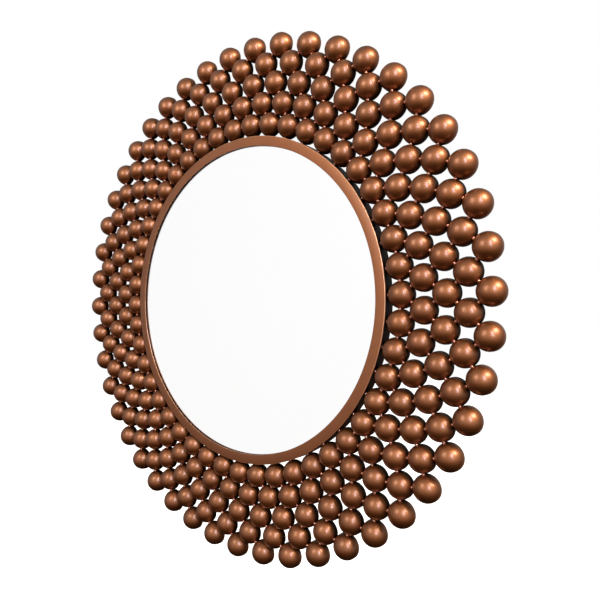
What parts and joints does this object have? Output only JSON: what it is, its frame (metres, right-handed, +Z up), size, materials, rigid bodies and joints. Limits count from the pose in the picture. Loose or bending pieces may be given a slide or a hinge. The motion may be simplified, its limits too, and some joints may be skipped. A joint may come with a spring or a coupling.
{
  "type": "wall mirror",
  "caption": "Round wall mirror in a copper-painted frame of welded steel domes, with a clipped backing board and hinged hanging rings.",
  "frame": {"origin": "on the wall plane, in line with the centre of the mirror glass", "axes": "+Y into the wall, the mirror faces -Y, +Z up as it hangs, +X to the right as seen from the room"},
  "size_m": [0.878, 0.032, 0.8772],
  "materials": {
    "copper_paint": "satin metallic copper-brown paint",
    "silvered_glass": "clear float glass silvered on the back",
    "foam_tape": "black closed-cell foam",
    "fibreboard": "raw medium-density fibreboard",
    "zinc_plate": "bright zinc plate",
    "black_rubber": "matt black rubber"
  },
  "bodies": {
    "mirror": {"mirror_hoop": "copper_paint", "dome_ring_1": "copper_paint", "dome_ring_2": "copper_paint", "dome_ring_3": "copper_paint", "dome_ring_4": "copper_paint", "dome_ring_5": "copper_paint", "tack_welds_ring_1": "copper_paint", "tack_welds_ring_1_to_2": "copper_paint", "tack_welds_ring_2_to_3": "copper_paint", "tack_welds_ring_3_to_4": "copper_paint", "tack_welds_ring_4_to_5": "copper_paint", "tack_welds_hoop": "copper_paint", "glazing_tape": "foam_tape", "mirror_glass": "silvered_glass", "backing_board": "fibreboard", "clip_bosses": "copper_paint", "clip_washers": "zinc_plate", "clip_screws": "zinc_plate", "hanger_strap_left": "zinc_plate", "hanger_strap_right": "zinc_plate", "hanger_screws": "zinc_plate", "wall_bumpers": "black_rubber"},
    "clip_1": {"turn_clip_1": "zinc_plate"},
    "clip_2": {"turn_clip_2": "zinc_plate"},
    "clip_3": {"turn_clip_3": "zinc_plate"},
    "clip_4": {"turn_clip_4": "zinc_plate"},
    "clip_5": {"turn_clip_5": "zinc_plate"},
    "clip_6": {"turn_clip_6": "zinc_plate"},
    "left_ring": {"d_ring_left": "zinc_plate"},
    "right_ring": {"d_ring_right": "zinc_plate"}
  },
  "joints": [
    {"name": "clip_1_swivel", "type": "hinge", "parent": "mirror", "child": "clip_1", "pos_m": [0, -0.00955, 0.26732], "axis": [0, 1, 0], "range_deg": [-90, 90]},
    {"name": "clip_2_swivel", "type": "hinge", "parent": "mirror", "child": "clip_2", "pos_m": [-0.23151, -0.00955, 0.13366], "axis": [0, 1, 0], "range_deg": [-90, 90]},
    {"name": "clip_3_swivel", "type": "hinge", "parent": "mirror", "child": "clip_3", "pos_m": [-0.23151, -0.00955, -0.13366], "axis": [0, 1, 0], "range_deg": [-90, 90]},
    {"name": "clip_4_swivel", "type": "hinge", "parent": "mirror", "child": "clip_4", "pos_m": [0, -0.00955, -0.26732], "axis": [0, 1, 0], "range_deg": [-90, 90]},
    {"name": "clip_5_swivel", "type": "hinge", "parent": "mirror", "child": "clip_5", "pos_m": [0.23151, -0.00955, -0.13366], "axis": [0, 1, 0], "range_deg": [-90, 90]},
    {"name": "clip_6_swivel", "type": "hinge", "parent": "mirror", "child": "clip_6", "pos_m": [0.23151, -0.00955, 0.13366], "axis": [0, 1, 0], "range_deg": [-90, 90]},
    {"name": "left_ring_swing", "type": "hinge", "parent": "mirror", "child": "left_ring", "pos_m": [-0.17, -0.00742, 0.11], "axis": [-1, 0, 0], "range_deg": [0, 170]},
    {"name": "right_ring_swing", "type": "hinge", "parent": "mirror", "child": "right_ring", "pos_m": [0.17, -0.00742, 0.11], "axis": [-1, 0, 0], "range_deg": [0, 170]}
  ]
}
